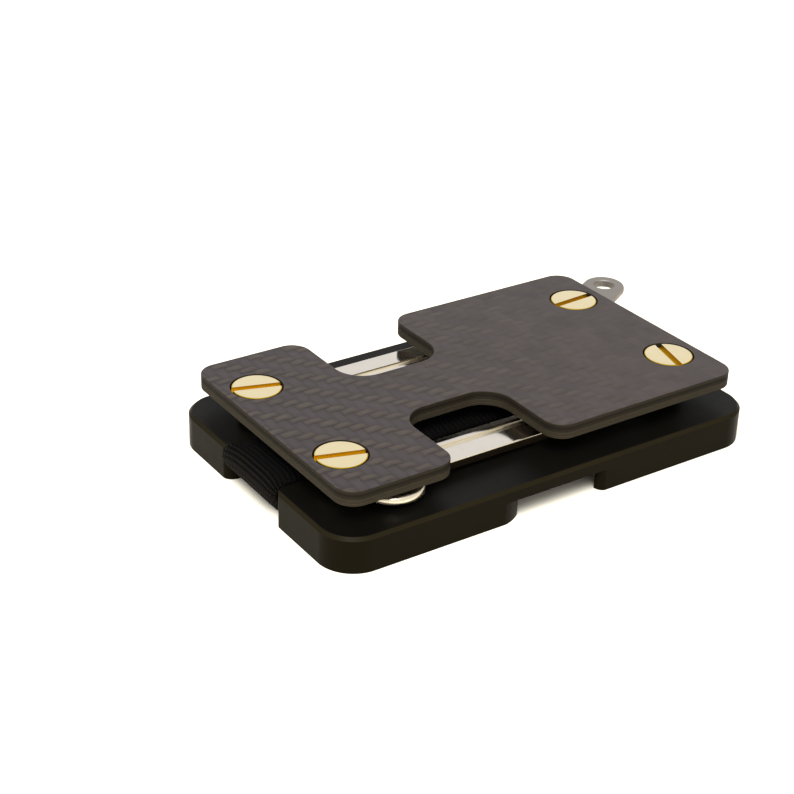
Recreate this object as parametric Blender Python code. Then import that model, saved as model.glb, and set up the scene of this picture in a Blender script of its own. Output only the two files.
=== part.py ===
"""A slim card and note holder that carries two keys between its frame and its top plate.

Everything is drawn in millimetres about the centre of the frame and scaled to metres as each mesh
is made. The long side runs along X and Z = 0 is the surface that the frame stands on. A parent empty
then moves the whole assembly so that the origin is under the middle of its overall box.
"""

import math

import bmesh
import bpy
from mathutils import Matrix, Vector

MM = 0.001

# Frame: a web over a card pocket, with a rim round it.
FRAME_LENGTH = 94.3
FRAME_WIDTH = 58.5
FRAME_HEIGHT = 7.0
FRAME_CORNER = 7.0
FRAME_CHAMFER = 0.6
POCKET_LENGTH = 86.2
POCKET_WIDTH = 54.8
POCKET_DEPTH = 4.4
POCKET_CORNER = 3.2
# Each side of a thumb gap: the x where its flare meets the face, and the flare's radius.
THUMB_LEFT = (-14.0, 8.4)
THUMB_RIGHT = (10.9, 1.85)
# How far outside the face a flare ends, so that it crosses the face at a slight angle.
MOUTH_BITE = 0.1
CHANNEL_DEPTH = 0.3

# Elastic band, a closed loop round the frame lengthwise.
BAND_WIDTH = 16.1
BAND_Y = 0.75
BAND_THICKNESS = 0.85
BAND_TOP = 7.77
BAND_BOTTOM = 0.1
BAND_BULGE_X = 47.8
BAND_WAIST = 4.3
BAND_FOOT_X = 44.6
BAND_CORNERS = (2.6, 2.0, 1.6)
NOTCH_HALF_WIDTH = BAND_WIDTH / 2 + 0.3
NOTCH_FLOOR_X = 45.8
NOTCH_CORNER = 2.3
WEB_EDGE_RADIUS = 1.4

# Top plate, shaped like an H, with a finger notch in each long side.
PLATE_LENGTH = 88.6
PLATE_WIDTH = 53.6
PLATE_THICKNESS = 3.0
PLATE_TOP = 13.9
PLATE_CENTRE = Vector((0.5, 1.2))
PLATE_CORNER = 3.9
FINGER_NOTCH_X = (-20.7, 0.7)
BRIDGE_HALF_WIDTH = 7.55
FINGER_NOTCH_CORNER = 5.8

# Fastenings: a slotted screw in a barrel post at each corner.
POST_SPACING_X = 75.2
POST_SPACING_Y = 29.2
POST_RADIUS = 2.4
POST_BORE_RADIUS = 1.75
FLANGE_RADIUS = 4.0
FLANGE_HEIGHT = 0.95
FLANGE_RECESS = 0.05
HEAD_RADIUS = 4.7
HEAD_HEIGHT = 1.5
HEAD_EDGE = 0.15
SHANK_RADIUS = 1.45
SHANK_BOTTOM = 7.2
BORE_DEPTH = 0.8
SLOT_WIDTH = 1.4
SLOT_DEPTH = 0.7
SLOT_ANGLES = {"front_left": -17, "rear_left": -17, "front_right": -105, "rear_right": 4}
WASHER_RADIUS = 3.6
GAP = 0.3
STACK_GAP = 0.2

# Keys: the hole for the post is at the key's own zero, and the blade runs along +X from it.
KEY_THICKNESS = 1.65
KEY_BOTTOM = 8.0
END_LOBE = (Vector((0.3, 0.0)), 4.4)
SIDE_LOBE_X = 6.7
SIDE_LOBE_Y = 5.75
SIDE_LOBE_RADIUS = 6.0
BOW_FILLET = 3.0
SHOULDER_FILLET = 1.5
SPINE_Y = -6.05
BLADE_EDGE_Y = 2.5
BLADE_END = 44.5
TIP = ((-3.6, -6.05), (-0.5, -3.4), (0.0, -2.5), (-0.4, -1.6), (-5.0, 2.5))
GROOVE_START = 15.4
TOP_GROOVE_Y = (-1.8, -0.15)
TOP_GROOVE_DEPTH = 0.25
BEVEL_Y = 0.65
BEVEL_DEPTH = 0.45
UNDER_GROOVE_Y = (-4.6, -2.4)
UNDER_GROOVE_DEPTH = 0.45
GROOVE_SLOPE = 0.4

# Lanyard loop on the rear right post.
LOOP_THICKNESS = 1.7
LOOP_BOTTOM = 8.5
LOOP_LENGTH = 18.5
LOOP_ANGLE = 29.2
LOOP_EYE_RADIUS = 4.6
LOOP_RING_RADIUS = 4.4
LOOP_HOLE_RADIUS = 2.2

ARC_STEP = 11.25
TURN_STEPS = 32

PLATE_BOTTOM = PLATE_TOP - PLATE_THICKNESS
POST_HOLE_RADIUS = POST_RADIUS + GAP
LOOP_RING_X = PLATE_CENTRE.x + POST_SPACING_X / 2 + LOOP_LENGTH * math.cos(math.radians(LOOP_ANGLE))
OVERALL_CENTRE_X = (LOOP_RING_X + LOOP_RING_RADIUS - BAND_BULGE_X) / 2


def post_place(corner):
    """The middle of a corner's post, from a name such as front_left."""
    side_y, side_x = corner.split("_")
    x = POST_SPACING_X / 2 * (-1 if side_x == "left" else 1)
    y = POST_SPACING_Y / 2 * (-1 if side_y == "front" else 1)
    return PLATE_CENTRE + Vector((x, y))


CORNERS = ("front_left", "rear_left", "front_right", "rear_right")


# Outlines


def arc(centre, radius, start, end):
    """Points from angle start to angle end, in degrees, about centre."""
    count = max(2, math.ceil(abs(end - start) / ARC_STEP))
    turns = [math.radians(start + (end - start) * i / count) for i in range(count + 1)]
    return [centre + radius * Vector((math.cos(a), math.sin(a))) for a in turns]


def heading(vector):
    return math.degrees(math.atan2(vector.y, vector.x))


def arc_between(centre, first, last, turn):
    """The arc about centre from point first to point last: turn is 1 anticlockwise, -1 clockwise."""
    start = heading(first - centre)
    end = heading(last - centre)
    while turn * (end - start) < 0:
        end += turn * 360
    return arc(centre, (first - centre).length, start, end)


def rounded(corners):
    """The outline through (x, y, radius) corners, with an arc at each corner."""
    points = []
    for i, (x, y, radius) in enumerate(corners):
        corner = Vector((x, y))
        back = (Vector(corners[i - 1][:2]) - corner).normalized()
        ahead = (Vector(corners[(i + 1) % len(corners)][:2]) - corner).normalized()
        half = back.angle(ahead) / 2
        centre = corner + (back + ahead).normalized() * radius / math.sin(half)
        reach = radius / math.tan(half)
        turn = 1 if back.x * ahead.y - back.y * ahead.x < 0 else -1
        points += arc_between(centre, corner + back * reach, corner + ahead * reach, turn)
    return points


def rectangle(length, width, radius, centre=Vector((0, 0))):
    x, y = length / 2, width / 2
    sides = ((-x, -y), (x, -y), (x, y), (-x, y))
    return rounded([(centre.x + a, centre.y + b, radius) for a, b in sides])


def box_outline(x_range, y_range):
    (x0, x1), (y0, y1) = x_range, y_range
    return [Vector(p) for p in ((x0, y0), (x1, y0), (x1, y1), (x0, y1))]


def fillet_centre(first, first_radius, second, second_radius, radius, side):
    """Where a fillet of that radius sits against two circles: side 1 is left of first to second."""
    across = second - first
    a, b, c = first_radius + radius, second_radius + radius, across.length
    along = (a * a - b * b + c * c) / (2 * c)
    away = math.sqrt(a * a - along * along)
    unit = across / c
    return first + unit * along + Vector((-unit.y, unit.x)) * away * side


def key_outline():
    """A three-lobed bow round the post's hole and a straight blade, anticlockwise."""
    end_centre, end_radius = END_LOBE
    upper = Vector((SIDE_LOBE_X, SIDE_LOBE_Y))
    lower = Vector((SIDE_LOBE_X, -SIDE_LOBE_Y))

    def touch(centre, fillet):
        return centre + (fillet - centre).normalized() * SIDE_LOBE_RADIUS

    def shoulder(lobe, edge_y, outward):
        """The fillet's centre between a side lobe and a straight blade edge."""
        y = edge_y + outward * SHOULDER_FILLET
        reach = SIDE_LOBE_RADIUS + SHOULDER_FILLET
        return Vector((lobe.x + math.sqrt(reach**2 - (y - lobe.y) ** 2), y))

    spine_fillet = shoulder(lower, SPINE_Y, -1)
    edge_fillet = shoulder(upper, BLADE_EDGE_Y, 1)
    upper_fillet = fillet_centre(upper, SIDE_LOBE_RADIUS, end_centre, end_radius, BOW_FILLET, -1)
    lower_fillet = fillet_centre(lower, SIDE_LOBE_RADIUS, end_centre, end_radius, BOW_FILLET, 1)
    end_upper = end_centre + (upper_fillet - end_centre).normalized() * end_radius
    end_lower = end_centre + (lower_fillet - end_centre).normalized() * end_radius
    spine_start = Vector((spine_fillet.x, SPINE_Y))
    edge_start = Vector((edge_fillet.x, BLADE_EDGE_Y))

    points = arc_between(lower, touch(lower, lower_fillet), touch(lower, spine_fillet), 1)
    points += arc_between(spine_fillet, touch(lower, spine_fillet), spine_start, -1)[1:]
    points += [Vector((BLADE_END + x, y)) for x, y in TIP]
    points += arc_between(edge_fillet, edge_start, touch(upper, edge_fillet), -1)
    points += arc_between(upper, touch(upper, edge_fillet), touch(upper, upper_fillet), 1)[1:]
    points += arc_between(upper_fillet, touch(upper, upper_fillet), end_upper, -1)[1:]
    points += arc_between(end_centre, end_upper, end_lower, 1)[1:]
    points += arc_between(lower_fillet, end_lower, touch(lower, lower_fillet), -1)[1:-1]
    return points


def loop_outline():
    """A link that joins the eye round the post to the ring, both round-ended."""
    eye, ring = Vector((0, 0)), Vector((LOOP_LENGTH, 0))
    lean = math.degrees(math.asin((LOOP_EYE_RADIUS - LOOP_RING_RADIUS) / LOOP_LENGTH))
    side = 90 - lean
    return arc(ring, LOOP_RING_RADIUS, -side, side) + arc(eye, LOOP_EYE_RADIUS, side, 360 - side)


def flared_notch(half_width, face, floor, radius):
    """A notch cut in from a face at -X to floor, whose two walls round out to the face.

    Each rounding crosses the face at a slight angle, so the cut leaves a clean edge.
    """
    outer = face - MOUTH_BITE
    side = half_width + radius
    wall_end = Vector((outer + radius, -half_width))
    flare = arc_between(Vector((outer + radius, -side)), Vector((outer, -side)), wall_end, -1)
    other = [Vector((p.x, -p.y)) for p in reversed(flare)]
    step = [Vector((floor, -half_width)), Vector((floor, half_width))]
    return [Vector((outer - 1, -side)), *flare, *step, *other, Vector((outer - 1, side))]


def thumb_notch(face, floor):
    """A notch cut in from a face at -Y to floor: its left side flares out more than its right."""
    outer = face - MOUTH_BITE
    (left, left_radius), (right, right_radius) = THUMB_LEFT, THUMB_RIGHT
    end = math.degrees(math.asin((floor - outer - left_radius) / left_radius))
    long_flare = arc(Vector((left, outer + left_radius)), left_radius, -90, end)
    short_flare = arc(Vector((right, outer + right_radius)), right_radius, 180, 270)
    corner = Vector((right - right_radius, floor))
    return [Vector((left, outer - 1)), *long_flare, corner, *short_flare, Vector((right, outer - 1))]


# Meshes


def new_object(name, mesh):
    obj = bpy.data.objects.new(name, mesh)
    bpy.context.scene.collection.objects.link(obj)
    obj.parent = ASSEMBLY
    return obj


def finished(bm, name):
    bmesh.ops.scale(bm, vec=(MM, MM, MM), verts=bm.verts)
    bmesh.ops.recalc_face_normals(bm, faces=bm.faces)
    mesh = bpy.data.meshes.new(name)
    bm.to_mesh(mesh)
    bm.free()
    mesh.shade_smooth()
    mesh.set_sharp_from_angle(angle=math.radians(30))
    return mesh


def stacked(name, sections, turn=Matrix.Identity(3)):
    """A solid through (outline, height) sections with the same number of points."""
    bm = bmesh.new()
    rings = [[bm.verts.new(turn @ Vector((p.x, p.y, z))) for p in outline] for outline, z in sections]
    bm.faces.new(reversed(rings[0]))
    bm.faces.new(rings[-1])
    for low, high in zip(rings, rings[1:]):
        for i in range(len(low)):
            bm.faces.new((low[i - 1], low[i], high[i], high[i - 1]))
    return finished(bm, name)


def prism(name, outline, bottom, top):
    return stacked(name, [(outline, bottom), (outline, top)])


ALONG_X = Matrix(((0, 0, 1), (1, 0, 0), (0, 1, 0)))
ALONG_Y = Matrix(((1, 0, 0), (0, 0, -1), (0, 1, 0)))


def bar(name, outline, start, end):
    """A prism along X whose outline is drawn in (y, z)."""
    return stacked(name, [(outline, start), (outline, end)], ALONG_X)


def strip(name, outline, width):
    """A prism along Y, centred, whose outline is drawn in (x, z)."""
    return stacked(name, [(outline, -width / 2), (outline, width / 2)], ALONG_Y)


def turned(name, profile, closed):
    """The (radius, z) profile spun about Z. A closed profile makes a ring."""
    bm = bmesh.new()
    verts = [bm.verts.new((radius, 0, z)) for radius, z in profile]
    edges = [bm.edges.new(pair) for pair in zip(verts, verts[1:])]
    if closed:
        edges.append(bm.edges.new((verts[-1], verts[0])))
    bmesh.ops.spin(
        bm, geom=verts + edges, axis=(0, 0, 1), cent=(0, 0, 0), angle=math.tau,
        steps=TURN_STEPS, use_merge=True, use_duplicate=False,
    )
    bmesh.ops.remove_doubles(bm, verts=bm.verts, dist=1e-4)
    return finished(bm, name)


def ring(name, inner, outer, bottom, top):
    profile = ((outer, top), (outer, bottom), (inner, bottom), (inner, top))
    return turned(name, profile, closed=True)


def place(obj, x=0.0, y=0.0, angle=0.0):
    obj.location = (x * MM, y * MM, 0)
    obj.rotation_euler = (0, 0, math.radians(angle))
    return obj


def cutter(name, mesh):
    obj = new_object(name, mesh)
    obj.hide_render = True
    obj.display_type = "WIRE"
    return obj


def cut(obj, tool):
    modifier = obj.modifiers.new(tool.name, "BOOLEAN")
    modifier.operation = "DIFFERENCE"
    modifier.solver = "EXACT"
    modifier.object = tool
    return obj


def drill(obj, name, radius, bottom, top, places):
    """Cuts a round hole at each place, in the object's own parent frame."""
    outline = arc(Vector((0, 0)), radius, 0, 360)[:-1]
    mesh = prism(name, outline, bottom, top)
    for i, at in enumerate(places):
        tool = cutter(f"{name}_{i}", mesh)
        cut(obj, place(tool, at.x, at.y))


# Materials


def material(name, colour, roughness, metallic=0.0):
    made = bpy.data.materials.new(name)
    made.use_nodes = True
    shader = made.node_tree.nodes["Principled BSDF"]
    shader.inputs["Base Color"].default_value = (*colour, 1)
    shader.inputs["Roughness"].default_value = roughness
    shader.inputs["Metallic"].default_value = metallic
    return made


def paint(obj, made):
    if made.name not in obj.data.materials:
        obj.data.materials.append(made)


# Pieces


def make_frame(made):
    inset = FRAME_CHAMFER
    outer = rectangle(FRAME_LENGTH, FRAME_WIDTH, FRAME_CORNER)
    inner = rectangle(FRAME_LENGTH - 2 * inset, FRAME_WIDTH - 2 * inset, FRAME_CORNER - inset)
    sections = [(outer, 0), (outer, FRAME_HEIGHT - inset), (inner, FRAME_HEIGHT)]
    frame = new_object("base_frame", stacked("base_frame", sections))
    paint(frame, made)

    pocket = rectangle(POCKET_LENGTH, POCKET_WIDTH, POCKET_CORNER)
    cut(frame, cutter("pocket_cutter", prism("pocket_cutter", pocket, -1, POCKET_DEPTH)))

    front_thumb = thumb_notch(-FRAME_WIDTH / 2, -POCKET_WIDTH / 2 + 1)
    rear_thumb = [Vector((p.x, -p.y)) for p in reversed(front_thumb)]
    for name, outline in (("thumb_cutter_front", front_thumb), ("thumb_cutter_rear", rear_thumb)):
        cut(frame, cutter(name, prism(name, outline, -1, POCKET_DEPTH)))

    end = -FRAME_LENGTH / 2
    upper = flared_notch(NOTCH_HALF_WIDTH, end, -NOTCH_FLOOR_X, NOTCH_CORNER)
    lower = flared_notch(NOTCH_HALF_WIDTH, end, -POCKET_LENGTH / 2 + 1, NOTCH_CORNER)
    upper_mesh = prism("end_notch_cutter", upper, POCKET_DEPTH - 0.5, FRAME_HEIGHT + 1)
    lower_mesh = prism("end_gap_cutter", lower, -1, POCKET_DEPTH)
    for side, angle in (("left", 0), ("right", 180)):
        cut(frame, place(cutter(f"end_gap_cutter_{side}", lower_mesh), y=BAND_Y, angle=angle))
        cut(frame, place(cutter(f"end_notch_cutter_{side}", upper_mesh), y=BAND_Y, angle=angle))

    channel = box_outline((-FRAME_LENGTH, FRAME_LENGTH), (-NOTCH_HALF_WIDTH, NOTCH_HALF_WIDTH))
    channel_mesh = prism("channel_cutter", channel, FRAME_HEIGHT - CHANNEL_DEPTH, FRAME_HEIGHT + 2)
    cut(frame, place(cutter("channel_cutter", channel_mesh), y=BAND_Y))

    top = FRAME_HEIGHT - CHANNEL_DEPTH
    middle = Vector((-NOTCH_FLOOR_X + WEB_EDGE_RADIUS, top - WEB_EDGE_RADIUS))
    edge_outline = arc(middle, WEB_EDGE_RADIUS, 90, 180)
    beyond = -NOTCH_FLOOR_X - 1
    edge_outline += [Vector((beyond, middle.y)), Vector((beyond, top + 1)), Vector((middle.x, top + 1))]
    edge_mesh = strip("web_edge_cutter", edge_outline, 2 * NOTCH_HALF_WIDTH)
    for side, angle in (("left", 0), ("right", 180)):
        cut(frame, place(cutter(f"web_edge_cutter_{side}", edge_mesh), y=BAND_Y, angle=angle))

    places = [post_place(corner) for corner in CORNERS]
    drill(frame, "frame_post_hole", POST_HOLE_RADIUS, POCKET_DEPTH - 1, FRAME_HEIGHT + 1, places)
    seat = POCKET_DEPTH + FLANGE_HEIGHT + GAP
    drill(frame, "flange_seat", FLANGE_RADIUS + GAP, POCKET_DEPTH - 1, seat, places)


def make_plate(made):
    left, right = (PLATE_CENTRE.x + s * PLATE_LENGTH / 2 for s in (-1, 1))
    front, rear = (PLATE_CENTRE.y + s * PLATE_WIDTH / 2 for s in (-1, 1))
    low, high = (PLATE_CENTRE.y + s * BRIDGE_HALF_WIDTH for s in (-1, 1))
    start, end = FINGER_NOTCH_X
    outer, inner = PLATE_CORNER, FINGER_NOTCH_CORNER
    outline = rounded([
        (left, front, outer), (start, front, outer), (start, low, inner),
        (end, low, inner), (end, front, outer), (right, front, outer),
        (right, rear, outer), (end, rear, outer), (end, high, inner),
        (start, high, inner), (start, rear, outer), (left, rear, outer),
    ])
    plate = new_object("top_plate", prism("top_plate", outline, PLATE_BOTTOM, PLATE_TOP))
    paint(plate, made)
    places = [post_place(corner) for corner in CORNERS]
    drill(plate, "plate_post_hole", POST_HOLE_RADIUS, PLATE_BOTTOM - 1, PLATE_TOP + 1, places)
    seat = PLATE_TOP - HEAD_HEIGHT - GAP
    drill(plate, "head_seat", HEAD_RADIUS + GAP, seat, PLATE_TOP + 1, places)


def band_outline(inset):
    """The band's side view: it bulges over the frame's ends and turns in under the cards."""
    bulge, foot = BAND_BULGE_X - inset, BAND_FOOT_X - inset
    top, bottom = BAND_TOP - inset, BAND_BOTTOM + inset
    shoulder, hip, toe = (radius - inset for radius in BAND_CORNERS)
    return rounded([
        (-bulge, top, shoulder), (-bulge, BAND_WAIST, hip), (-foot, bottom, toe),
        (foot, bottom, toe), (bulge, BAND_WAIST, hip), (bulge, top, shoulder),
    ])


def make_band(made):
    band = new_object("elastic_band", strip("elastic_band", band_outline(0), BAND_WIDTH))
    place(band, y=BAND_Y)
    paint(band, made)
    hollow = strip("band_hollow", band_outline(BAND_THICKNESS), 2 * BAND_WIDTH)
    cut(band, cutter("band_hollow", hollow))


def make_fastenings(brass):
    bottom = POCKET_DEPTH + FLANGE_RECESS
    flange_top = bottom + FLANGE_HEIGHT
    post_top = PLATE_TOP - HEAD_HEIGHT - 2 * GAP
    post_profile = (
        (0, bottom), (FLANGE_RADIUS, bottom), (FLANGE_RADIUS, flange_top),
        (POST_RADIUS, flange_top), (POST_RADIUS, post_top), (POST_BORE_RADIUS, post_top),
        (POST_BORE_RADIUS, SHANK_BOTTOM - BORE_DEPTH), (0, SHANK_BOTTOM - BORE_DEPTH),
    )
    post_mesh = turned("barrel_post", post_profile, closed=False)
    head_bottom = PLATE_TOP - HEAD_HEIGHT
    screw_profile = (
        (0, SHANK_BOTTOM), (SHANK_RADIUS, SHANK_BOTTOM), (SHANK_RADIUS, head_bottom),
        (HEAD_RADIUS, head_bottom), (HEAD_RADIUS, PLATE_TOP - HEAD_EDGE),
        (HEAD_RADIUS - HEAD_EDGE, PLATE_TOP), (0, PLATE_TOP),
    )
    screw_mesh = turned("slotted_screw", screw_profile, closed=False)
    slot = box_outline((-HEAD_RADIUS - 1, HEAD_RADIUS + 1), (-SLOT_WIDTH / 2, SLOT_WIDTH / 2))
    slot_mesh = prism("screw_slot", slot, PLATE_TOP - SLOT_DEPTH, PLATE_TOP + 1)
    post_slot_mesh = prism("post_slot", slot, bottom - 1, bottom + FLANGE_HEIGHT / 2)
    for corner in CORNERS:
        at = post_place(corner)
        angle = SLOT_ANGLES[corner]
        screw = place(new_object(f"screw_{corner}", screw_mesh), at.x, at.y, angle)
        cut(screw, place(cutter(f"screw_slot_{corner}", slot_mesh), at.x, at.y, angle))
        post = place(new_object(f"barrel_post_{corner}", post_mesh), at.x, at.y, angle)
        cut(post, place(cutter(f"post_slot_{corner}", post_slot_mesh), at.x, at.y, angle))
        paint(screw, brass)
        paint(post, brass)


def make_washers(nylon):
    """A washer under and over each piece that swings, and a spacer on the post that holds none."""
    low = FRAME_HEIGHT + STACK_GAP
    high = PLATE_BOTTOM - STACK_GAP
    inner = POST_HOLE_RADIUS
    swinging = (
        ("front_left", "key_front", KEY_BOTTOM, KEY_THICKNESS),
        ("rear_left", "key_rear", KEY_BOTTOM, KEY_THICKNESS),
        ("rear_right", "loop", LOOP_BOTTOM, LOOP_THICKNESS),
    )
    for corner, owner, bottom, thickness in swinging:
        under = (low, bottom - STACK_GAP)
        over = (bottom + thickness + STACK_GAP, high)
        for level, (start, end) in (("lower", under), ("upper", over)):
            name = f"{owner}_washer_{level}"
            washer = new_object(name, ring(name, inner, WASHER_RADIUS, start, end))
            at = post_place(corner)
            paint(place(washer, at.x, at.y), nylon)
    at = post_place("front_right")
    spacer = new_object("spacer_sleeve", ring("spacer_sleeve", inner, WASHER_RADIUS, low, high))
    paint(place(spacer, at.x, at.y), nylon)


def groove_sides(y_range, face, depth):
    """The (y, z) sides of a groove with sloping walls: a negative depth is cut upwards."""
    y0, y1 = y_range
    reach = abs(depth) * GROOVE_SLOPE
    floor, mouth = face - depth, face + depth
    return (y0 - reach, mouth), (y0 + reach, floor), (y1 - reach, floor), (y1 + reach, mouth)


def key_mesh():
    top = KEY_BOTTOM + KEY_THICKNESS
    key = new_object("key_pattern", prism("key_pattern", key_outline(), KEY_BOTTOM, top))
    hole = arc(Vector((0, 0)), POST_HOLE_RADIUS, 0, 360)[:-1]
    cut(key, cutter("key_hole", prism("key_hole", hole, KEY_BOTTOM - 1, top + 1)))
    beyond = BLADE_EDGE_Y + 1
    fall = BEVEL_DEPTH / (BLADE_EDGE_Y - BEVEL_Y)
    low_side = top - fall * (beyond - BEVEL_Y)
    bevel = ((BEVEL_Y - 1, top + fall), (beyond, low_side), (beyond, top + fall))
    groove = groove_sides(TOP_GROOVE_Y, top, TOP_GROOVE_DEPTH)
    under = groove_sides(UNDER_GROOVE_Y, KEY_BOTTOM, -UNDER_GROOVE_DEPTH)
    for name, sides in (("top_groove", groove), ("bevel", bevel), ("under_groove", under)):
        outline = [Vector(p) for p in sides]
        cut(key, cutter(name, bar(name, outline, GROOVE_START, BLADE_END + 1)))
    view = bpy.context.evaluated_depsgraph_get()
    mesh = bpy.data.meshes.new_from_object(key.evaluated_get(view))
    bpy.data.objects.remove(key)
    return mesh


def mirrored(mesh, name):
    """The same mesh with Y turned over, for the key on the other side."""
    bm = bmesh.new()
    bm.from_mesh(mesh)
    bmesh.ops.scale(bm, vec=(1, -1, 1), verts=bm.verts)
    bmesh.ops.reverse_faces(bm, faces=bm.faces)
    made = bpy.data.meshes.new(name)
    bm.to_mesh(made)
    bm.free()
    made.set_sharp_from_angle(angle=math.radians(30))
    return made


def make_keys(chrome):
    front_mesh = key_mesh()
    rear_mesh = mirrored(front_mesh, "key_rear")
    for name, mesh, corner in (
        ("key_front", front_mesh, "front_left"),
        ("key_rear", rear_mesh, "rear_left"),
    ):
        at = post_place(corner)
        paint(place(new_object(name, mesh), at.x, at.y), chrome)


def make_loop(steel):
    top = LOOP_BOTTOM + LOOP_THICKNESS
    at = post_place("rear_right")
    loop = new_object("lanyard_loop", prism("lanyard_loop", loop_outline(), LOOP_BOTTOM, top))
    paint(place(loop, at.x, at.y, LOOP_ANGLE), steel)
    reach = Matrix.Rotation(math.radians(LOOP_ANGLE), 2) @ Vector((LOOP_LENGTH, 0))
    drill(loop, "loop_eye", POST_HOLE_RADIUS, LOOP_BOTTOM - 1, top + 1, [at])
    drill(loop, "loop_hole", LOOP_HOLE_RADIUS, LOOP_BOTTOM - 1, top + 1, [at + reach])


for old in list(bpy.data.objects):
    bpy.data.objects.remove(old)

ASSEMBLY = bpy.data.objects.new("assembly", None)
ASSEMBLY.location = (-OVERALL_CENTRE_X * MM, 0, 0)
bpy.context.scene.collection.objects.link(ASSEMBLY)

anodised = material("black_anodised", (0.02, 0.019, 0.017), 0.4, 0.9)
laminate = material("carbon_laminate", (0.11, 0.1, 0.098), 0.45)
webbing = material("black_elastic", (0.012, 0.012, 0.012), 0.9)
gold_brass = material("brass", (0.83, 0.66, 0.33), 0.25, 1.0)
plated = material("nickel_plate", (0.75, 0.73, 0.7), 0.12, 1.0)
satin_steel = material("satin_steel", (0.55, 0.52, 0.49), 0.35, 1.0)
nylon_black = material("black_nylon", (0.02, 0.02, 0.02), 0.6)

make_frame(anodised)
make_plate(laminate)
make_band(webbing)
make_fastenings(gold_brass)
make_washers(nylon_black)
make_keys(plated)
make_loop(satin_steel)
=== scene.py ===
"""The looks of a slim card and key holder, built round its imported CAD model.

Pieces are drawn in millimetres from the middle of the frame's underside. They are scaled to metres
and moved into the row frame when they are put in place. The long side runs along X, and Z = 0 is the
surface that the object stands on.
"""

import math

import bmesh
import bpy
from mathutils import Matrix, Vector


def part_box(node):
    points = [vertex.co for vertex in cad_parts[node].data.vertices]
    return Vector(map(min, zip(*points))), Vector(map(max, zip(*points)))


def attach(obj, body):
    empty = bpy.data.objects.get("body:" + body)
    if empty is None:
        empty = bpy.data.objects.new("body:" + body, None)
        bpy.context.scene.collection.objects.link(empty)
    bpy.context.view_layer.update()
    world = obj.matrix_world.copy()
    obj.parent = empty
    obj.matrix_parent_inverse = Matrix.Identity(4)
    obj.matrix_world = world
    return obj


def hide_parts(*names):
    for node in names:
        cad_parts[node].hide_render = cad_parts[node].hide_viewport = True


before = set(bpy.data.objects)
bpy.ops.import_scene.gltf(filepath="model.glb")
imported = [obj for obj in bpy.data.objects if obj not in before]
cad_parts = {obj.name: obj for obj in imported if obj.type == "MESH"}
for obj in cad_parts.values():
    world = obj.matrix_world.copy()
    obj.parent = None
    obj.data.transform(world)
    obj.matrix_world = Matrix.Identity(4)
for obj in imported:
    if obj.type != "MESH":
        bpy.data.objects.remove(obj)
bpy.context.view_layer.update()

MM = 0.001

# Camera and light
CAMERA_AZIMUTH = -34.72
CAMERA_ELEVATION = 28.07
CAMERA_ROLL = 1.81
CAMERA_LENS = 77.48
CAMERA_TARGET = Vector((-9.74, 9.72, 7.0))
CAMERA_DISTANCE = 328.2
SKY = 1.0
# The softbox's place and side and the floor's half width are in metres, and the power is in watts.
SOFTBOX_PLACE = (-0.28, -0.30, 0.55)
SOFTBOX_SIDE = 0.35
SOFTBOX_POWER = 6.5
FLOOR_REACH = 6.0
FLOOR_CELLS = 24

# Frame
FRAME_CORNER = 7.0
FRAME_CHAMFER = 0.6
FOOT_EASE = 0.1
POCKET_LENGTH = 86.2
POCKET_WIDTH = 54.8
POCKET_DEPTH = 4.4
POCKET_CORNER = 3.2
# Each side of a thumb gap: the x where its flare meets the face, and the flare's radius.
THUMB_LEFT = (-14.0, 8.4)
THUMB_RIGHT = (10.9, 1.85)
# How far outside the face a flare ends, so that it crosses the face at a slight angle.
MOUTH_BITE = 0.1
CHANNEL_DEPTH = 0.3
NOTCH_FLOOR_X = 45.8
NOTCH_CORNER = 2.3
NOTCH_SIDE_GAP = 0.3
WEB_EDGE_RADIUS = 1.4
# How far a face of the frame points up, from 0 to 1, to have the top's darker copy of the finish,
# which is painted shade from the plate, or the chamfer's paler copy, which is a painted highlight.
TOP_FACING = 0.9
CHAMFER_FACING = 0.6

# Elastic band
BAND_THICKNESS = 0.95
BAND_WAIST = 4.3
BAND_RADII = (2.6, 2.0, 1.6)
BAND_FOOT_INSET = 3.2
RIB_PITCH = 1.0
STITCH_PITCH = 0.56
RIB_DEPTH = 0.5
# The share of a rib's depth that is left where the band lies flat.
RIB_LEAST = 0.3
RIB_POWER = 1.2
RIB_STEPS = 8
RIB_BOW = 0.9
# The ribs bow towards the nearer end, and turn over within this distance of the middle.
BOW_CHANGE_X = 20.0
# Where the band leaves its channel and its edges are free to curl.
FREE_EDGE_X = (NOTCH_FLOOR_X - 1.5, NOTCH_FLOOR_X + 1.0)
FRONT_CURL = 0.7
REAR_BULGE = 0.45
REAR_SPREAD = 1.4
BAND_THINNING = 0.35
BAND_COLUMNS = 28
INNER_COLUMNS = 8
BAND_EDGE_STEPS = 6
# How far from the middle the ribs close up, so the painted shade in their valleys fades, and where the
# painted shade on the band's top under the plate starts to lift.
CLOSED_RIBS_X = 46.6
PLATE_SHADE_END_X = 44.0

# Top plate
PLATE_CORNER = 3.9
FINGER_NOTCH_X = (-20.7, 0.7)
BRIDGE_HALF_WIDTH = 7.55
FINGER_NOTCH_CORNER = 5.8
PLATE_EASE = 0.2
PLY_COUNT = 9
PLY_LINE_DEPTH = 0.06
PLY_LINE_HALF_WIDTH = 0.08
# The part of each ply that is darker, and how many shades there are to a ply.
SEAM_SHARE = 0.3
SHADES_PER_PLY = 0.7
# How far a face of the plate points up or down, from 0 to 1, to show the weave and not the plies.
WEAVE_FACING = 0.75
TOW_WIDTH = 1.95
# Tows in one repeat of the twill, and tows that one float passes over.
TWILL_REPEAT = 4.0
FLOAT_TOWS = 2.0
# How much less of the weave shows, and how much darker the plate is painted as painted shade, for each
# millimetre towards the loop.
WEAVE_AND_LIGHT_FADE = 0.011

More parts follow.
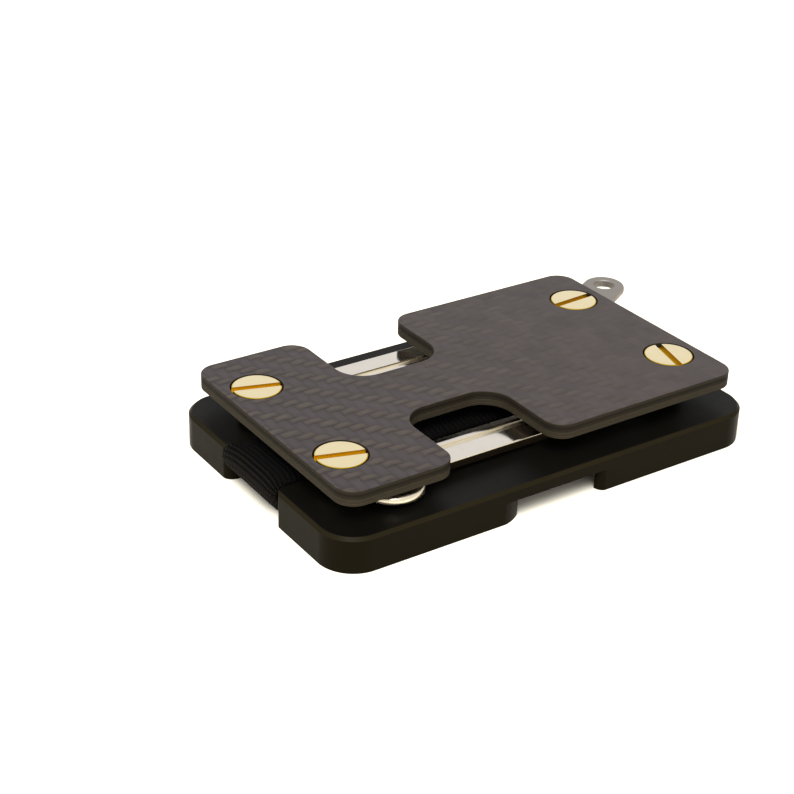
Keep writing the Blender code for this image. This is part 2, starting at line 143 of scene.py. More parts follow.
# Fastenings
POST_RADIUS = 2.4
POST_BORE_RADIUS = 1.75
FLANGE_RADIUS = 4.0
FLANGE_HEIGHT = 0.95
HEAD_RADIUS = 4.7
HEAD_HEIGHT = 1.5
HEAD_EDGE = 0.2
SHANK_RADIUS = 1.45
SLOT_WIDTH = 1.4
SLOT_DEPTH = 0.7
SLOT_ANGLES = {"front_left": -17, "rear_left": -17, "front_right": -105, "rear_right": 4}
HOLE_GAP = 0.3
THREAD_TURNS = 14
THREAD_DEPTH = 0.18
# Plain shank under and over the thread.
THREAD_LEAD = 0.3
THREAD_RUNOUT = 0.5
SCREW_TIP_CHAMFER = 0.3
SCREW_EDGE = 0.1
POST_EDGE = 0.12
BORE_CLEARANCE = 0.8
WASHER_EDGE = 0.1

# Keys
END_LOBE = (Vector((0.3, 0.0)), 4.4)
SIDE_LOBE_X = 6.7
SIDE_LOBE_Y = 5.75
SIDE_LOBE_RADIUS = 6.0
BOW_FILLET = 3.0
SHOULDER_FILLET = 1.5
SPINE_Y = -6.05
BLADE_EDGE_Y = 2.5
BLADE_END = 44.5
TIP = ((-3.6, -6.05), (-0.5, -3.4), (0.0, -2.5), (-0.4, -1.6), (-5.0, 2.5))
GROOVE_START = 15.4
TOP_GROOVE_Y = (-1.8, -0.15)
TOP_GROOVE_DEPTH = 0.25
BEVEL_Y = 0.65
BEVEL_DEPTH = 0.45
UNDER_GROOVE_Y = (-4.6, -2.4)
UNDER_GROOVE_DEPTH = 0.45
GROOVE_SLOPE = 0.4
BOW_EASE = 1.1
BOW_UNDER_EASE = 0.3
BLADE_EASE = 0.22
EASE_CHANGE_X = (9.0, 13.0)
# How far a face of a key points up or down, from 0 to 1, to count as a flat.
FLAT_FACING = 0.85
FLAT_MARGIN = 0.05
# Edges longer than this, this far inside the spine and the blade's edge, are kept crisp.
CREASE_LENGTH = 3.0
CREASE_MARGINS = (1.0, 0.3)

# Lanyard loop
LOOP_LENGTH = 18.5
LOOP_ANGLE = 29.2
LOOP_EYE_RADIUS = 4.6
LOOP_RING_RADIUS = 4.4
LOOP_HOLE_RADIUS = 2.2
LOOP_EASE = 0.6
HOLE_EASE = 0.3

# Colours from deep to pale
# Warp and weft are one fibre: the weft is painted paler and browner as a painted sheen along its
# fibres.
WARP_COLOURS = ((0.0184, 0.0134, 0.0144), (0.0326, 0.0246, 0.0256))
WEFT_SHEEN_COLOURS = ((0.0285, 0.0200, 0.0164), (0.0500, 0.0368, 0.0286))
# Painted shade in the dips round each float.
TOW_DIP_SHADE_COLOUR = (0.0080, 0.0056, 0.0052)
DARK_PLY_COLOURS = ((0.0055, 0.0042, 0.0024), (0.0120, 0.0092, 0.0055))
PALE_PLY_COLOURS = ((0.0165, 0.0130, 0.0077), (0.0420, 0.0335, 0.0210))
# The elastic's deep colour is painted shade in the rib valleys and on the band's top.
ELASTIC_COLOURS = ((0.0002, 0.0002, 0.0002), (0.0118, 0.0090, 0.0072))
NYLON_COLOURS = ((0.008, 0.008, 0.008), (0.018, 0.018, 0.017))
PAPER_COLOURS = ((0.92, 0.87, 0.74), (0.94, 0.89, 0.76))

# Degrees to a step of an arc, and steps to a rounding and to a whole turn
ARC_STEP = 5.0
EASE_STEPS = 4
TURN_STEPS = 72
# Edges that turn by more degrees than this are shown sharp.
SHARP_ANGLE = 38.0
# How far a cutter reaches past what it cuts.
OVERCUT = 1.0
# How near to a face's height a point counts as on it.
FACE_MARGIN = 0.01
CORNERS = ("front_left", "rear_left", "front_right", "rear_right")

low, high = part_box("base_frame")
ORIGIN = Vector(((low.x + high.x) / 2, (low.y + high.y) / 2, 0))


def span(node):
    """A CAD node's lowest and highest corner, in millimetres from the middle of the frame."""
    start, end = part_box(node)
    return (start - ORIGIN) / MM, (end - ORIGIN) / MM


def post_place(corner):
    start, end = span(f"screw_{corner}")
    return ((start + end) / 2).to_2d()


FRAME_LOW, FRAME_HIGH = span("base_frame")
PLATE_LOW, PLATE_HIGH = span("top_plate")
BAND_LOW, BAND_HIGH = span("elastic_band")
BAND_Y = (BAND_LOW.y + BAND_HIGH.y) / 2
BAND_HALF_WIDTH = (BAND_HIGH.y - BAND_LOW.y) / 2
NOTCH_HALF_WIDTH = BAND_HALF_WIDTH + NOTCH_SIDE_GAP


# Outlines


def arc(centre, radius, start, end):
    """Points from angle start to angle end, in degrees, about centre."""
    count = max(2, math.ceil(abs(end - start) / ARC_STEP))
    turns = [math.radians(start + (end - start) * i / count) for i in range(count + 1)]
    return [centre + radius * Vector((math.cos(a), math.sin(a))) for a in turns]


def circle(radius, centre=Vector((0, 0))):
    return arc(centre, radius, 0, 360)[:-1]


def heading(vector):
    return math.degrees(math.atan2(vector.y, vector.x))


def arc_between(centre, first, last, turn):
    """The arc about centre from first to last: turn is 1 anticlockwise and -1 clockwise."""
    start = heading(first - centre)
    end = heading(last - centre)
    while turn * (end - start) < 0:
        end += turn * 360
    return arc(centre, (first - centre).length, start, end)


def rounded(corners):
    """The outline through (x, y, radius) corners, with an arc at each corner."""
    points = []
    for i, (x, y, radius) in enumerate(corners):
        corner = Vector((x, y))
        back = (Vector(corners[i - 1][:2]) - corner).normalized()
        ahead = (Vector(corners[(i + 1) % len(corners)][:2]) - corner).normalized()
        half = back.angle(ahead) / 2
        centre = corner + (back + ahead).normalized() * radius / math.sin(half)
        reach = radius / math.tan(half)
        turn = 1 if back.x * ahead.y - back.y * ahead.x < 0 else -1
        points += arc_between(centre, corner + back * reach, corner + ahead * reach, turn)
    return points


def rectangle(length, width, radius):
    x, y = length / 2, width / 2
    return rounded([(a, b, radius) for a, b in ((-x, -y), (x, -y), (x, y), (-x, y))])


def box_outline(x_range, y_range):
    (x0, x1), (y0, y1) = x_range, y_range
    return [Vector(p) for p in ((x0, y0), (x1, y0), (x1, y1), (x0, y1))]


def inset(outline, distance, shares=None):
    """An anticlockwise outline moved inwards by a distance, or by each point's share of it."""
    inner = []
    for i, point in enumerate(outline):
        back = (point - outline[i - 1]).normalized()
        ahead = (outline[(i + 1) % len(outline)] - point).normalized()
        mean = (back + ahead).normalized()
        step = distance * (shares[i] if shares else 1)
        inner.append(point + Vector((-mean.y, mean.x)) * step / mean.dot(back))
    return inner


def flared_notch(half_width, face, floor, radius):
    """A notch cut in from a face at -X to floor, whose two walls round out to the face.

    Each rounding crosses the face at a slight angle, so the cut leaves a clean edge.
    """
    outer = face - MOUTH_BITE
    side = half_width + radius
    wall_end = Vector((outer + radius, -half_width))
    flare = arc_between(Vector((outer + radius, -side)), Vector((outer, -side)), wall_end, -1)
    other = [Vector((p.x, -p.y)) for p in reversed(flare)]
    step = [Vector((floor, -half_width)), Vector((floor, half_width))]
    beyond = outer - OVERCUT
    return [Vector((beyond, -side)), *flare, *step, *other, Vector((beyond, side))]


def thumb_notch(face, floor):
    """A notch cut in from a face at -Y to floor: its left side flares out more than its right."""
    outer = face - MOUTH_BITE
    beyond = outer - OVERCUT
    (left, left_radius), (right, right_radius) = THUMB_LEFT, THUMB_RIGHT
    end = math.degrees(math.asin((floor - outer - left_radius) / left_radius))
    long_flare = arc(Vector((left, outer + left_radius)), left_radius, -90, end)
    short_flare = arc(Vector((right, outer + right_radius)), right_radius, 180, 270)
    corner = Vector((right - right_radius, floor))
    return [Vector((left, beyond)), *long_flare, corner, *short_flare, Vector((right, beyond))]


def fillet_centre(first, first_radius, second, second_radius, radius, side):
    """Where a fillet of that radius sits against two circles: side 1 is left of first to second."""
    across = second - first
    a, b, c = first_radius + radius, second_radius + radius, across.length
    along = (a * a - b * b + c * c) / (2 * c)
    away = math.sqrt(a * a - along * along)
    unit = across / c
    return first + unit * along + Vector((-unit.y, unit.x)) * away * side


def key_outline():
    """A three-lobed bow round the post's hole and a straight uncut blade, anticlockwise."""
    end_centre, end_radius = END_LOBE
    upper = Vector((SIDE_LOBE_X, SIDE_LOBE_Y))
    lower = Vector((SIDE_LOBE_X, -SIDE_LOBE_Y))

    def touch(centre, fillet):
        return centre + (fillet - centre).normalized() * SIDE_LOBE_RADIUS

    def shoulder(lobe, edge_y, outward):
        """The fillet's centre between a side lobe and a straight blade edge."""
        y = edge_y + outward * SHOULDER_FILLET
        reach = SIDE_LOBE_RADIUS + SHOULDER_FILLET
        return Vector((lobe.x + math.sqrt(reach**2 - (y - lobe.y) ** 2), y))

    spine_fillet = shoulder(lower, SPINE_Y, -1)
    edge_fillet = shoulder(upper, BLADE_EDGE_Y, 1)
    upper_fillet = fillet_centre(upper, SIDE_LOBE_RADIUS, end_centre, end_radius, BOW_FILLET, -1)
    lower_fillet = fillet_centre(lower, SIDE_LOBE_RADIUS, end_centre, end_radius, BOW_FILLET, 1)
    end_upper = end_centre + (upper_fillet - end_centre).normalized() * end_radius
    end_lower = end_centre + (lower_fillet - end_centre).normalized() * end_radius
    spine_start = Vector((spine_fillet.x, SPINE_Y))
    edge_start = Vector((edge_fillet.x, BLADE_EDGE_Y))

    points = arc_between(lower, touch(lower, lower_fillet), touch(lower, spine_fillet), 1)
    points += arc_between(spine_fillet, touch(lower, spine_fillet), spine_start, -1)[1:]
    points += [Vector((BLADE_END + x, y)) for x, y in TIP]
    points += arc_between(edge_fillet, edge_start, touch(upper, edge_fillet), -1)
    points += arc_between(upper, touch(upper, edge_fillet), touch(upper, upper_fillet), 1)[1:]
    points += arc_between(upper_fillet, touch(upper, upper_fillet), end_upper, -1)[1:]
    points += arc_between(end_centre, end_upper, end_lower, 1)[1:]
    points += arc_between(lower_fillet, end_lower, touch(lower, lower_fillet), -1)[1:-1]
    return points


# Meshes, in millimetres


def finished(bm, name):
    bmesh.ops.recalc_face_normals(bm, faces=bm.faces)
    mesh = bpy.data.meshes.new(name)
    bm.to_mesh(mesh)
    bm.free()
    return mesh


def stacked(name, sections, turn=Matrix.Identity(3)):
    """A solid through (outline, height) sections with the same number of points.

    An outline's points may have heights of their own, which are added to the section's.
    """
    bm = bmesh.new()
    rings = []
    for outline, z in sections:
        places = [p.to_3d() + Vector((0, 0, z)) for p in outline]
        rings.append([bm.verts.new(turn @ p) for p in places])
    bm.faces.new(reversed(rings[0]))
    bm.faces.new(rings[-1])
    for lower, upper in zip(rings, rings[1:]):
        for i in range(len(lower)):
            bm.faces.new((lower[i - 1], lower[i], upper[i], upper[i - 1]))
    return finished(bm, name)


def prism(name, outline, bottom, top, turn=Matrix.Identity(3)):
    return stacked(name, [(outline, bottom), (outline, top)], turn)


def quarter_turn():
    return [math.radians(90 * i / EASE_STEPS) for i in range(EASE_STEPS + 1)]


def rounded_edge(outline, level, ease, up, shares):
    """The sections of a rounded edge, from the flat face at level out to the sides.

    up is 1 at a lower edge and -1 at an upper one. shares are the points' shares of the rounding.
    """
    sections = []
    for a in quarter_turn():
        rise = up * ease * (1 - math.cos(a))
        places = zip(inset(outline, ease * (1 - math.sin(a)), shares), shares)
        sections.append(([Vector((p.x, p.y, level + rise * share)) for p, share in places], 0))
    return sections


def eased(outline, bottom, top, lower_ease, upper_ease, between=(), shares=None):
    """The sections of a prism whose lower and upper edges are rounded, with others between them."""
    shares = shares or [1] * len(outline)
    upper = rounded_edge(outline, top, upper_ease, -1, shares)
    return [*rounded_edge(outline, bottom, lower_ease, 1, shares), *between, *reversed(upper)]


ALONG_X = Matrix(((0, 0, 1), (1, 0, 0), (0, 1, 0)))
ALONG_Y = Matrix(((1, 0, 0), (0, 0, -1), (0, 1, 0)))


def turned(name, profile, closed):
    """The (radius, z) profile spun about Z. A closed profile makes a ring."""
    bm = bmesh.new()
    verts = [bm.verts.new((radius, 0, z)) for radius, z in profile]
    edges = [bm.edges.new(pair) for pair in zip(verts, verts[1:])]
    if closed:
        edges.append(bm.edges.new((verts[-1], verts[0])))
    bmesh.ops.spin(
        bm, geom=verts + edges, axis=(0, 0, 1), cent=(0, 0, 0), angle=math.tau,
        steps=TURN_STEPS, use_merge=True, use_duplicate=False,
    )
    bmesh.ops.remove_doubles(bm, verts=bm.verts, dist=1e-4)
    return finished(bm, name)


def moved(mesh, x=0.0, y=0.0, angle=0.0):
    """A copy of a mesh, turned about Z and then moved."""
    copy = mesh.copy()
    copy.transform(Matrix.Translation((x, y, 0)) @ Matrix.Rotation(math.radians(angle), 4, "Z"))
    return copy


def carved(mesh, tools):
    """The mesh less its tools."""
    body = bpy.data.objects.new("carving", mesh)
    bpy.context.scene.collection.objects.link(body)
    helpers = [body]
    for tool in tools:
        helper = bpy.data.objects.new("tool", tool)
        bpy.context.scene.collection.objects.link(helper)
        helpers.append(helper)
        modifier = body.modifiers.new("cut", "BOOLEAN")
        modifier.operation = "DIFFERENCE"
        modifier.solver = "EXACT"
        modifier.object = helper
    view = bpy.context.evaluated_depsgraph_get()
    made = bpy.data.meshes.new_from_object(body.evaluated_get(view))
    made.name = mesh.name
    for helper in helpers:
        bpy.data.objects.remove(helper)
    return made


def drills(radius, bottom, top, places):
    mesh = prism("drill", circle(radius), bottom, top)
    return [moved(mesh, at.x, at.y) for at in places]


def shown(name, mesh, materials, body, node, at=(0.0, 0.0), angle=0.0):
    """Puts a mesh drawn about at, in millimetres, into the row frame, in place of a CAD node."""
    mesh.transform(Matrix.Rotation(math.radians(angle), 4, "Z") @ Matrix.Scale(MM, 4))
    mesh.name = name
    mesh.shade_smooth()
    mesh.set_sharp_from_angle(angle=math.radians(SHARP_ANGLE))
    obj = bpy.data.objects.new(name, mesh)
    bpy.context.scene.collection.objects.link(obj)
    obj.location = ORIGIN + Vector((at[0], at[1], 0)) * MM
    for material in materials:
        mesh.materials.append(material)
    even = obj.modifiers.new("even_shading", "WEIGHTED_NORMAL")
    even.keep_sharp = True
    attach(obj, body)
    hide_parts(node)
    return obj


# Materials


class Graph:
    """Short ways to add nodes to one material.

    Its place is in millimetres in the piece's own frame.
    """

    def __init__(self, name, **constants):
        self.material = bpy.data.materials.new(name)
        self.material.use_nodes = True
        self.tree = self.material.node_tree
        self.shader = self.tree.nodes["Principled BSDF"]
        for key, value in constants.items():
            self.shader.inputs[key.replace("_", " ")].default_value = value
        scaled = self.node("ShaderNodeVectorMath", operation="SCALE")
        self.feed(scaled.inputs[0], self.node("ShaderNodeTexCoord").outputs["Object"])
        scaled.inputs["Scale"].default_value = 1 / MM
        self.place = scaled.outputs[0]

    def node(self, kind, **settings):
        made = self.tree.nodes.new(kind)
        for key, value in settings.items():
            setattr(made, key, value)
        return made

    def feed(self, socket, value):
        if isinstance(value, bpy.types.NodeSocket):
            self.tree.links.new(value, socket)
        else:
            socket.default_value = value

    def math(self, operation, *values):
        made = self.node("ShaderNodeMath", operation=operation)
        for socket, value in zip(made.inputs, values):
            self.feed(socket, value)
        return made.outputs[0]

    def limit(self, value, low, high):
        return self.math("MAXIMUM", self.math("MINIMUM", value, high), low)

    def rest(self, share):
        """What a share leaves of 1."""
        return self.math("SUBTRACT", 1.0, share)

    def arch(self, share):
        """Rises from 0 to 1 and falls to 0 again as share goes from 0 to 1."""
        return self.math("SINE", self.math("MULTIPLY", share, math.pi))

    def split(self, value):
        made = self.node("ShaderNodeSeparateXYZ")
        self.feed(made.inputs[0], value)
        return made.outputs

    def join(self, *values):
        made = self.node("ShaderNodeCombineXYZ")
        for socket, value in zip(made.inputs, values):
            self.feed(socket, value)
        return made.outputs[0]

    def choose(self, share, first, second):
        """first where share is 0 and second where it is 1."""
        made = self.node("ShaderNodeMix", data_type="FLOAT")
        for key, value in (("Factor", share), ("A", first), ("B", second)):
            self.feed(made.inputs[key], value)
        return made.outputs[0]

    def choose_place(self, share, first, second):
        made = self.node("ShaderNodeMix", data_type="VECTOR")
        for index, value in ((0, share), (4, first), (5, second)):
            self.feed(made.inputs[index], value)
        return made.outputs[1]

    def tint(self, share, first, second):
        made = self.node("ShaderNodeMix", data_type="RGBA")
        self.feed(made.inputs[0], share)
        for index, value in ((6, first), (7, second)):
            self.feed(made.inputs[index], (*value, 1) if isinstance(value, tuple) else value)
        return made.outputs[2]

    def noise(self, scale, detail, place=None, roughness=0.5):
        made = self.node("ShaderNodeTexNoise")
        self.feed(made.inputs["Vector"], place or self.place)
        made.inputs["Scale"].default_value = scale
        made.inputs["Detail"].default_value = detail
        made.inputs["Roughness"].default_value = roughness
        return made.outputs[0]

    def spread(self, value, low, high):
        """Maps 0 to 1 onto low to high."""
        return self.math("MULTIPLY_ADD", value, high - low, low)

    def finish(self, colour, roughness=None, height=None, depth=None):
        """Connects what was made. depth is the bump's height in millimetres."""
        self.feed(self.shader.inputs["Base Color"], colour)
        if roughness is not None:
            self.feed(self.shader.inputs["Roughness"], roughness)
        if height is not None:
            bump = self.node("ShaderNodeBump")
            bump.inputs["Distance"].default_value = depth * MM
            self.feed(bump.inputs["Height"], height)
            self.feed(self.shader.inputs["Normal"], bump.outputs[0])
        return self.material


def anodised_material(name, specular, deep, pale):
    g = Graph(name, Specular_IOR_Level=specular)
    grain = g.noise(9.0, 3.0, roughness=0.7)
    roughness = g.spread(g.noise(0.6, 3.0), 0.3, 0.44)
    return g.finish(g.tint(g.noise(0.12, 2.0), deep, pale), roughness, grain, 0.012)


def weave_material():
    """A two-by-two twill under satin resin, which hides it more and more towards the loop.

    The floats step to the right and down. The colour holds painted shade: darker towards the loop, in
    the dips round each float and on the weft floats' lower sides. It holds a painted sheen too: the
    weft floats are paler than the warp.
    """
    g = Graph("carbon_weave", Specular_IOR_Level=0.2)
    x, y, _ = g.split(g.place)

    # Which tow of each set a point is on, and how far across it. The tows waver a little.
    u = g.math("ADD", g.math("DIVIDE", x, TOW_WIDTH), g.spread(g.noise(0.3, 2.0), -0.3, 0.3))
    v = g.math("ADD", g.math("DIVIDE", y, TOW_WIDTH), g.spread(g.noise(0.37, 2.0), -0.3, 0.3))
    tow_u, tow_v = g.math("FLOOR", u), g.math("FLOOR", v)
    part_u, part_v = g.math("FRACT", u), g.math("FRACT", v)
    phase = g.math("FLOORED_MODULO", g.math("ADD", tow_u, tow_v), TWILL_REPEAT)
    weft = g.math("LESS_THAN", phase, FLOAT_TOWS - 0.5)
    warp = g.rest(weft)
    warp_phase = g.math("SUBTRACT", phase, FLOAT_TOWS)

    # The form of a float, from 0 at its outline to 1 at its crown. It also paints shade into the
    # colour: dark at a float's outline and on a weft float's lower side, where it dives under.
    warp_run = g.math("ADD", warp_phase, part_v)
    weft_run = g.math("ADD", phase, part_u)
    run = g.math("DIVIDE", g.choose(weft, warp_run, weft_run), FLOAT_TOWS)
    crown = g.arch(g.choose(weft, part_u, part_v))
    lift = g.arch(run)
    form = g.math("MULTIPLY", g.math("POWER", crown, 0.35), g.math("POWER", lift, 0.5))

    # How clearly the weave shows through the resin. It also sets how light the plate is painted, so
    # that painted shade deepens towards the loop.
    clarity_and_light = g.math("ADD", g.spread(g.noise(0.09, 2.0), 0.25, 0.85), g.math("MULTIPLY", x, -WEAVE_AND_LIGHT_FADE))
    clarity_and_light = g.limit(clarity_and_light, 0.12, 1.0)
    outlined = g.math("MULTIPLY", clarity_and_light, g.math("MULTIPLY_ADD", weft, 0.5, 0.5))
    form = g.rest(g.math("MULTIPLY", outlined, g.rest(form)))
    # Painted shade on the lower side of each weft float.
    lower_side_shade = g.math("MULTIPLY", weft, g.math("POWER", g.rest(part_v), 2.2))
    under = g.math("MULTIPLY", g.math("MULTIPLY", lower_side_shade, lift), clarity_and_light)
    form = g.math("MULTIPLY", form, g.rest(under))

    # Fibres along each tow, and a shade of its own for each float.
    along_y = g.join(g.math("MULTIPLY", x, 9.0), g.math("MULTIPLY", y, 0.5), 0.0)
    along_x = g.join(g.math("MULTIPLY", x, 0.5), g.math("MULTIPLY", y, 9.0), 5.0)
    fibre = g.noise(1.0, 3.0, g.choose_place(weft, along_y, along_x))
    start_u = g.math("SUBTRACT", tow_u, g.math("MULTIPLY", weft, phase))
    start_v = g.math("SUBTRACT", tow_v, g.math("MULTIPLY", warp, warp_phase))
    own = g.node("ShaderNodeTexWhiteNoise")
    g.feed(own.inputs["Vector"], g.join(start_u, start_v, weft))
    shade = g.math("MULTIPLY_ADD", own.outputs[0], 0.45, g.math("MULTIPLY", g.noise(0.16, 2.0), 1.1))
    shade = g.math("ADD", shade, g.math("MULTIPLY", fibre, 0.25))
    # Painted shade: the plate is darker where the weave shows less, so darker towards the loop.
    shade = g.math("ADD", shade, g.math("MULTIPLY_ADD", clarity_and_light, 0.55, -0.47))

    # Painted sheen: the weft floats take the paler colours, less where the weave shows less.
    parted = g.math("MULTIPLY_ADD", clarity_and_light, g.math("SUBTRACT", weft, 0.5), 0.5)
    cloth = g.tint(parted, g.tint(shade, *WARP_COLOURS), g.tint(shade, *WEFT_SHEEN_COLOURS))
    height = g.math("ADD", form, g.math("MULTIPLY", fibre, 0.25))
    return g.finish(g.tint(form, TOW_DIP_SHADE_COLOUR, cloth), g.spread(fibre, 0.36, 0.48), height, 0.05)


def laminate_edge_material():
    """The sawn and sanded edge of the plies, which is paler towards the bottom."""
    g = Graph("laminate_edge", Specular_IOR_Level=0.07)
    x, y, z = g.split(g.place)
    ply = (PLATE_HIGH.z - PLATE_LOW.z) / PLY_COUNT
    level = g.math("DIVIDE", g.math("SUBTRACT", z, PLATE_LOW.z), ply)
    shade = g.math("MULTIPLY", level, SHADES_PER_PLY)
    layer = g.node("ShaderNodeTexWhiteNoise")
    g.feed(layer.inputs["Vector"], g.join(0.0, 0.0, g.math("FLOOR", shade)))
    along = g.join(g.math("MULTIPLY", x, 0.7), g.math("MULTIPLY", y, 0.7), g.math("MULTIPLY", z, 14.0))
    streak = g.noise(1.0, 3.0, along)
    lower = g.math("SUBTRACT", 1.1, g.math("DIVIDE", level, PLY_COUNT))
    lower = g.math("POWER", g.limit(lower, 0.0, 1.0), 2.5)
    share = g.math("ADD", g.math("MULTIPLY", lower, 0.9), g.spread(layer.outputs[0], -0.45, 0.55))
    seam = g.math("LESS_THAN", g.math("FRACT", level), SEAM_SHARE)
    share = g.math("MULTIPLY", share, g.rest(g.math("MULTIPLY", seam, 0.85)))
    colour = g.tint(share, g.tint(streak, *DARK_PLY_COLOURS), g.tint(streak, *PALE_PLY_COLOURS))
    return g.finish(colour, g.spread(streak, 0.5, 0.68), streak, 0.02)


def elastic_material():
    """Covered rubber: each rib is a row of slanted stitches, whose slant turns from rib to rib.

    Painted shade darkens the valleys between the ribs, less where the ribs close up round the frame's
    ends, and darkens the band's top under the plate.
    """
    g = Graph("black_elastic", Specular_IOR_Level=0.04, Sheen_Weight=0.004, Sheen_Roughness=0.5)
    row, column, _ = g.split(g.node("ShaderNodeUVMap", uv_map="weave").outputs[0])
    slant = g.math("MULTIPLY_ADD", g.math("PINGPONG", row, 1.0), 0.8, column)
    stitch = g.math("MULTIPLY_ADD", g.math("SINE", g.math("MULTIPLY", slant, math.tau)), 0.5, 0.5)
    # Painted shade: dark in the valleys between the ribs.
    rib_shade = g.math("POWER", g.math("ABSOLUTE", g.arch(row)), 1.5)
    reach = g.math("ABSOLUTE", g.split(g.place)[0])
    closed = g.math("MULTIPLY", g.math("SUBTRACT", reach, CLOSED_RIBS_X), 0.8)
    rib_shade = g.math("MAXIMUM", rib_shade, g.math("MINIMUM", closed, 0.55))
    # Painted shade: darker on the band's top under the plate, away from its ends.
    plate_shade = g.math("MULTIPLY", g.math("SUBTRACT", reach, PLATE_SHADE_END_X), 0.3)
    rib_shade = g.math("MULTIPLY", rib_shade, g.limit(plate_shade, 0.25, 1.0))
    fuzz = g.noise(7.0, 3.0)
    thread = g.math("MULTIPLY", stitch, g.spread(fuzz, 0.6, 1.0))
    shade = g.math("MULTIPLY", rib_shade, g.spread(thread, 0.25, 1.0))
    return g.finish(g.tint(shade, *ELASTIC_COLOURS), g.spread(fuzz, 0.7, 0.95), thread, 0.2)


def brass_material(name, colour, rough):
    """Brass faced on a lathe, with faint rings about the piece's own axis."""
    g = Graph(name, Metallic=1.0)
    x, y, _ = g.split(g.place)
    radius = g.math("SQRT", g.math("ADD", g.math("POWER", x, 2.0), g.math("POWER", y, 2.0)))
    rings = g.noise(1.0, 3.0, g.join(g.math("MULTIPLY", radius, 11.0), 0.0, 0.0))
    smudge = g.noise(0.5, 3.0)
    tint = g.tint(smudge, colour, tuple(c * 0.93 for c in colour))
    return g.finish(tint, g.spread(smudge, rough, rough + 0.12), rings, 0.0018)


def metal_material(name, colour, rough, scratch):
    """Plated or brushed metal, with fine lines along the piece."""
    g = Graph(name, Metallic=1.0)
    x, y, z = g.split(g.place)
    along = g.join(g.math("MULTIPLY", x, 0.25), g.math("MULTIPLY", y, 7.0), g.math("MULTIPLY", z, 7.0))
    lines = g.noise(1.0, 4.0, along)
    smudge = g.noise(0.35, 3.0)
    tint = g.tint(smudge, colour, tuple(c * 0.9 for c in colour))
    return g.finish(tint, g.spread(smudge, rough, rough + 0.08), lines, scratch)


def nylon_material():
    g = Graph("black_nylon", Specular_IOR_Level=0.35)
    speck = g.noise(4.0, 3.0)
    return g.finish(g.tint(speck, *NYLON_COLOURS), g.spread(speck, 0.45, 0.6), speck, 0.01)


def floor_material():
    g = Graph("paper_floor", Specular_IOR_Level=0.0, Roughness=1.0)
    return g.finish(g.tint(g.noise(0.4, 2.0), *PAPER_COLOURS))


# Pieces


def make_frame(finishes):
    """finishes are painted lit and shaded copies of one anodised finish, for the top, the sides and
    the chamfer: the top's is darker, as painted shade from the plate, and the chamfer's palest, as a
    painted highlight.
    """
    length, width, height = FRAME_HIGH - FRAME_LOW
    outline = rectangle(length, width, FRAME_CORNER)
    sections = rounded_edge(outline, 0, FOOT_EASE, 1, [1] * len(outline))
    sections += [(outline, height - FRAME_CHAMFER), (inset(outline, FRAME_CHAMFER), height)]
    block = stacked("base_frame", sections)

    pocket = rectangle(POCKET_LENGTH, POCKET_WIDTH, POCKET_CORNER)
    tools = [prism("pocket", pocket, -OVERCUT, POCKET_DEPTH)]
    thumb = thumb_notch(FRAME_LOW.y, -POCKET_WIDTH / 2 + OVERCUT)
    mirrored = [Vector((p.x, -p.y)) for p in reversed(thumb)]
    tools += [prism("thumb_gap", side, -OVERCUT, POCKET_DEPTH) for side in (thumb, mirrored)]

    # The band's gap through the rim and its notch in the web, at each end
    rim_inside = -POCKET_LENGTH / 2 + OVERCUT
    gap = flared_notch(NOTCH_HALF_WIDTH, FRAME_LOW.x, rim_inside, NOTCH_CORNER)
    notch = flared_notch(NOTCH_HALF_WIDTH, FRAME_LOW.x, -NOTCH_FLOOR_X, NOTCH_CORNER)
    gap_mesh = prism("end_gap", gap, -OVERCUT, POCKET_DEPTH)
    notch_mesh = prism("end_notch", notch, POCKET_DEPTH - OVERCUT / 2, height + OVERCUT)
    for angle in (0, 180):
        tools += [moved(mesh, y=BAND_Y, angle=angle) for mesh in (gap_mesh, notch_mesh)]

    # Its channel along the web, and the web's rounded ends
    floor = height - CHANNEL_DEPTH
    channel = box_outline((-length, length), (-NOTCH_HALF_WIDTH, NOTCH_HALF_WIDTH))
    tools.append(moved(prism("channel", channel, floor, height + 2 * OVERCUT), y=BAND_Y))
    middle = Vector((-NOTCH_FLOOR_X + WEB_EDGE_RADIUS, floor - WEB_EDGE_RADIUS))
    beyond, above = -NOTCH_FLOOR_X - OVERCUT, floor + OVERCUT
    edge = arc(middle, WEB_EDGE_RADIUS, 90, 180)
    edge += [Vector(corner) for corner in ((beyond, middle.y), (beyond, above), (middle.x, above))]
    edge_mesh = prism("web_edge", edge, -NOTCH_HALF_WIDTH, NOTCH_HALF_WIDTH, ALONG_Y)
    tools += [moved(edge_mesh, y=BAND_Y, angle=angle) for angle in (0, 180)]

    places = [post_place(corner) for corner in CORNERS]
    under = POCKET_DEPTH - OVERCUT
    tools += drills(POST_RADIUS + HOLE_GAP, under, height + OVERCUT, places)
    seat = POCKET_DEPTH + FLANGE_HEIGHT + HOLE_GAP
    tools += drills(FLANGE_RADIUS + HOLE_GAP, under, seat, places)
    mesh = carved(block, tools)
    # Painted light: each face takes the lit or shaded copy of the finish by which way it points.
    for face in mesh.polygons:
        up = face.normal.z
        face.material_index = 0 if up > TOP_FACING else 2 if up > CHAMFER_FACING else 1
    shown("frame_body", mesh, finishes, "frame", "base_frame")


def ply_lines(outline, bottom, top):
    """Fine grooves in the plate's edge where one ply meets the next."""
    ply = (top - bottom) / PLY_COUNT
    sections = []
    for i in range(2, PLY_COUNT - 1):
        z = bottom + i * ply
        sections += [
            (outline, z - PLY_LINE_HALF_WIDTH),
            (inset(outline, PLY_LINE_DEPTH), z),
            (outline, z + PLY_LINE_HALF_WIDTH),
        ]
    return sections


